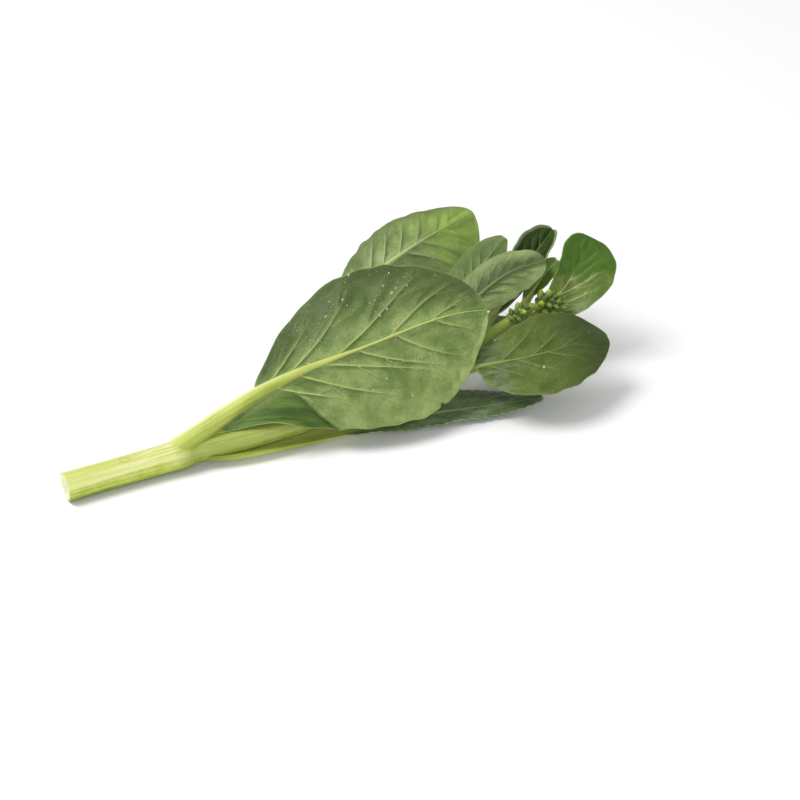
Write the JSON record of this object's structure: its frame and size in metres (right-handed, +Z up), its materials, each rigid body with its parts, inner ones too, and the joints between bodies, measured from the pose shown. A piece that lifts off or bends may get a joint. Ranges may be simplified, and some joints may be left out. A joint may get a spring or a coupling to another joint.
{
  "type": "choy sum",
  "caption": "Cut flowering shoot of choy sum lying on its side: a fleshy stem with broad rounded leaves on long stalks and heads of small green flower buds.",
  "frame": {"origin": "on the surface that the shoot lies on, under the middle of the whole shoot's bounding box", "axes": "+X along the shoot from the cut end to the leafy tip, +Z up, -Y the side that the largest leaf slopes down to"},
  "size_m": [0.2608, 0.1427, 0.0571],
  "materials": {
    "stem": "fresh pale green stem, moist and softly glossy, with fine lengthwise ribs",
    "leaf_underside": "matte grey-green underside with raised pale veins",
    "leaf_upper_side": "deep green upper side with a waxy sheen and sunken pale veins",
    "buds": "small satin yellow-green buds"
  },
  "bodies": {
    "root": {"main_stem": "stem", "largest_leaf": "leaf_underside", "lower_front_leaf": "leaf_upper_side", "front_oval_leaf": "leaf_underside", "far_leaf": "leaf_underside", "back_small_leaf": "leaf_underside", "inner_leaf": "leaf_upper_side", "pale_top_leaf": "leaf_underside", "folded_leaf": "leaf_upper_side", "young_leaf": "leaf_upper_side", "bright_tip_leaf": "leaf_upper_side", "bud_cluster": "buds", "front_bud_cluster": "buds"}
  },
  "joints": []
}
